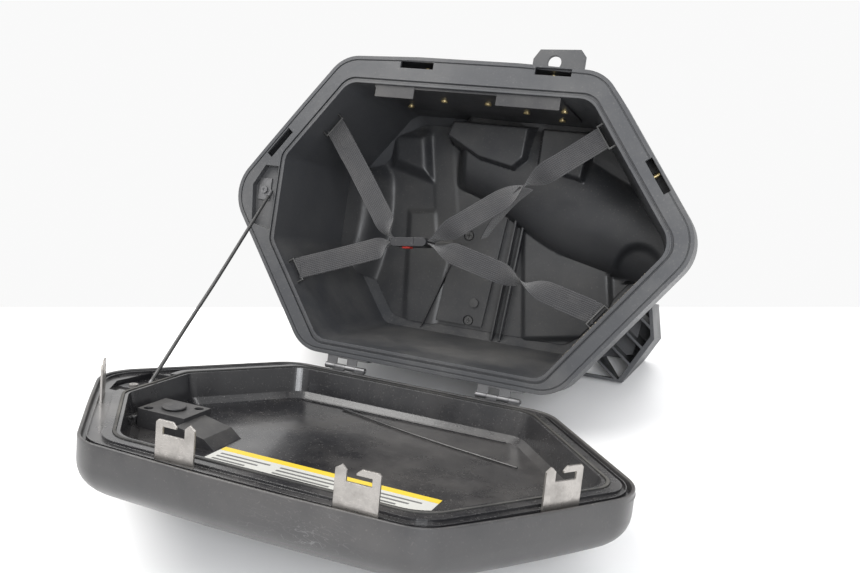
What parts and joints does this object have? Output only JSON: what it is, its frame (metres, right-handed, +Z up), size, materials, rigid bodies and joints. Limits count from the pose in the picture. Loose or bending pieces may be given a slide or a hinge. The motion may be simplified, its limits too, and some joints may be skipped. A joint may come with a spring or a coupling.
{
  "type": "hard motorcycle saddlebag",
  "caption": "Hard side case for a motorcycle, open: leaning hollow tub with crossed webbing straps and a lid hinged at its lower edge on a stay cable.",
  "frame": {"origin": "centre of the footprint on the ground", "axes": "+X to the right as seen from the open side, +Y from the lid towards the back of the tub, +Z up"},
  "size_m": [0.5379, 0.6596, 0.3856],
  "materials": {
    "black_plastic": "moulded, satin, worn",
    "dark_plastic": "moulded, dull",
    "lid_gloss": "moulded, glossy",
    "lid_skin": "painted satin, scuffed",
    "stainless": "stamped",
    "zinc": "zinc plated, dull",
    "cable": "steel rope in a black sleeve",
    "webbing": "woven",
    "red_plastic": "moulded",
    "seal": "dull",
    "label": null
  },
  "bodies": {
    "tub": {"tub_shell": "black_plastic", "latch_cover": "dark_plastic", "latch_cover_screws": "zinc", "backing_plate": "dark_plastic", "backing_screws": "zinc", "locating_stud": "stainless", "rear_plate": "zinc", "top_bracket": "black_plastic", "top_bracket_screws": "zinc", "foot_left": "black_plastic", "foot_right": "black_plastic", "foot_screws": "zinc", "anchor_upper_left": "dark_plastic", "anchor_lower_left": "dark_plastic", "anchor_upper_right": "dark_plastic", "anchor_lower_right": "dark_plastic", "strap_upper_left": "webbing", "strap_lower_left": "webbing", "strap_upper_right": "webbing", "strap_lower_right": "webbing", "buckle_body": "dark_plastic", "stay_bracket_tub": "zinc", "stay_screw_tub": "zinc", "stay_ferrule_tub": "zinc", "stay_cable": "cable", "tub_hinge_leaf_left": "zinc", "tub_hinge_leaf_right": "zinc", "hinge_pin_left": "zinc", "hinge_pin_right": "zinc"},
    "lid": {"lid_hinge_leaf_left": "zinc", "lid_hinge_leaf_right": "zinc", "lid_cover": "lid_skin", "lid_pan": "lid_gloss", "lid_seal": "seal", "hook_1": "stainless", "hook_2": "stainless", "hook_3": "stainless", "hook_4": "stainless", "lock_housing": "black_plastic", "lock_housing_screws": "zinc", "lid_label": "label", "stay_bracket_lid": "zinc", "stay_screw_lid": "zinc", "stay_ferrule_lid": "zinc"},
    "latch_1": {"latch_pin_1": "stainless"},
    "latch_2": {"latch_pin_2": "stainless"},
    "latch_3": {"latch_pin_3": "stainless"},
    "latch_4": {"latch_pin_4": "stainless"},
    "tongue": {"buckle_tongue": "dark_plastic"},
    "button": {"buckle_button": "red_plastic"},
    "lock": {"lock_cylinder": "zinc"}
  },
  "joints": [
    {"name": "lid_hinge", "type": "hinge", "parent": "tub", "child": "lid", "pos_m": [0, 0.0256, 0.0447], "axis": [1, 0, 0], "range_deg": [-98.4, 0], "deforming": ["stay_cable"]},
    {"name": "latch_slide_2", "type": "slide", "parent": "tub", "child": "latch_2", "axis": [-1, 0, 0], "range_m": [0, 0.011]},
    {"name": "latch_slide_1", "type": "slide", "parent": "tub", "child": "latch_1", "axis": [-0.5962, -0.3137, -0.739], "range_m": [0, 0.011]},
    {"name": "latch_slide_3", "type": "slide", "parent": "tub", "child": "latch_3", "axis": [1, 0, 0], "range_m": [0, 0.011]},
    {"name": "latch_slide_4", "type": "slide", "parent": "tub", "child": "latch_4", "axis": [0.5962, -0.3137, -0.739], "range_m": [0, 0.011]},
    {"name": "tongue_slide", "type": "slide", "parent": "tub", "child": "tongue", "axis": [0.9925, 0.0476, 0.1122], "range_m": [0, 0.025], "deforming": ["strap_upper_right", "strap_lower_right"]},
    {"name": "button_press", "type": "slide", "parent": "tub", "child": "button", "axis": [-0.1219, 0.3878, 0.9136], "range_m": [0, 0.0015], "stiffness_N_per_m": 200, "springref_m": -0.0002},
    {"name": "lock_turn", "type": "hinge", "parent": "lid", "child": "lock", "pos_m": [-0.17, -0.18577, 0.05842], "axis": [0, 0.2521, 0.9677], "range_deg": [0, 90]}
  ],
  "couplings": [
    {"joint": "latch_slide_1", "follows": "latch_slide_2", "ratio": 1},
    {"joint": "latch_slide_3", "follows": "latch_slide_2", "ratio": 1},
    {"joint": "latch_slide_4", "follows": "latch_slide_2", "ratio": 1}
  ]
}
